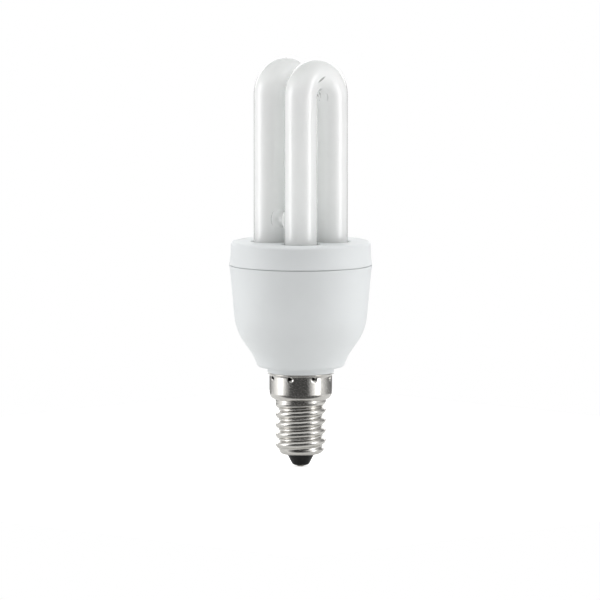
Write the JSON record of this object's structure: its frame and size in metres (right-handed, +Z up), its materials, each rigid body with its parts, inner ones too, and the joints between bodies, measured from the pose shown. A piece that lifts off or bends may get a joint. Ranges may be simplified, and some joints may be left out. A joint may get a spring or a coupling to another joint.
{
  "type": "compact fluorescent lamp",
  "caption": "Energy saving bulb: U-bent fluorescent tubes in a white lid and tapered housing with its ballast inside, on a small screw cap",
  "frame": {"origin": "lowest point of the centre contact, on the lamp's axis", "axes": "+Z runs up the axis from the contact to the tubes; each U lies in a plane parallel to XZ, and the glass bridge joins the two legs at -X"},
  "size_m": [0.0396, 0.0396, 0.1137],
  "materials": {
    "coated_glass": "clear glass with a white powder coating inside",
    "white_plastic": "fine matt moulded",
    "cement": "dull grey cement",
    "nickel_plated_brass": "bright nickel plating",
    "black_glass": "pressed black glass",
    "plain_brass": "drawn",
    "solder": "dull solder",
    "laminate": "pressed paper laminate",
    "ferrite": "sintered",
    "copper_wire": "enamelled copper",
    "tinned_wire": "tinned",
    "black_resin": "moulded",
    "film_resin": "dipped",
    "can_sleeve": "shrunk sleeve",
    "diode_glass": "tinted glass",
    "resistor_lacquer": "lacquered",
    "wire_sleeve": "insulated"
  },
  "bodies": {
    "root": {"base_resistor_1": "resistor_lacquer", "base_resistor_2": "resistor_lacquer", "cap_insulator": "black_glass", "cap_shell": "nickel_plated_brass", "cement_ring_1": "cement", "cement_ring_2": "cement", "cement_ring_3": "cement", "cement_ring_4": "cement", "choke_bobbin": "black_resin", "choke_core_1": "ferrite", "choke_core_2": "ferrite", "choke_pins": "tinned_wire", "choke_winding": "copper_wire", "circuit_board": "laminate", "contact_eyelet": "plain_brass", "contact_solder": "solder", "coupling_capacitor": "film_resin", "diode_1": "black_resin", "diode_2": "black_resin", "diode_3": "black_resin", "diode_4": "black_resin", "discharge_tube": "coated_glass", "feedback_core": "ferrite", "feedback_winding_1": "copper_wire", "feedback_winding_2": "copper_wire", "feedback_winding_3": "copper_wire", "filter_capacitor": "can_sleeve", "fuse_resistor": "resistor_lacquer", "housing": "white_plastic", "neutral_wire": "wire_sleeve", "phase_wire": "wire_sleeve", "solder_joints": "solder", "start_resistor": "resistor_lacquer", "transistor_1": "black_resin", "transistor_2": "black_resin", "trigger_diode": "diode_glass", "tube_capacitor": "film_resin", "tube_lead_1": "tinned_wire", "tube_lead_2": "tinned_wire", "tube_lead_3": "tinned_wire", "tube_lead_4": "tinned_wire", "tube_lid": "white_plastic", "wrap_pin_1": "tinned_wire", "wrap_pin_2": "tinned_wire", "wrap_pin_3": "tinned_wire", "wrap_pin_4": "tinned_wire"}
  },
  "joints": []
}
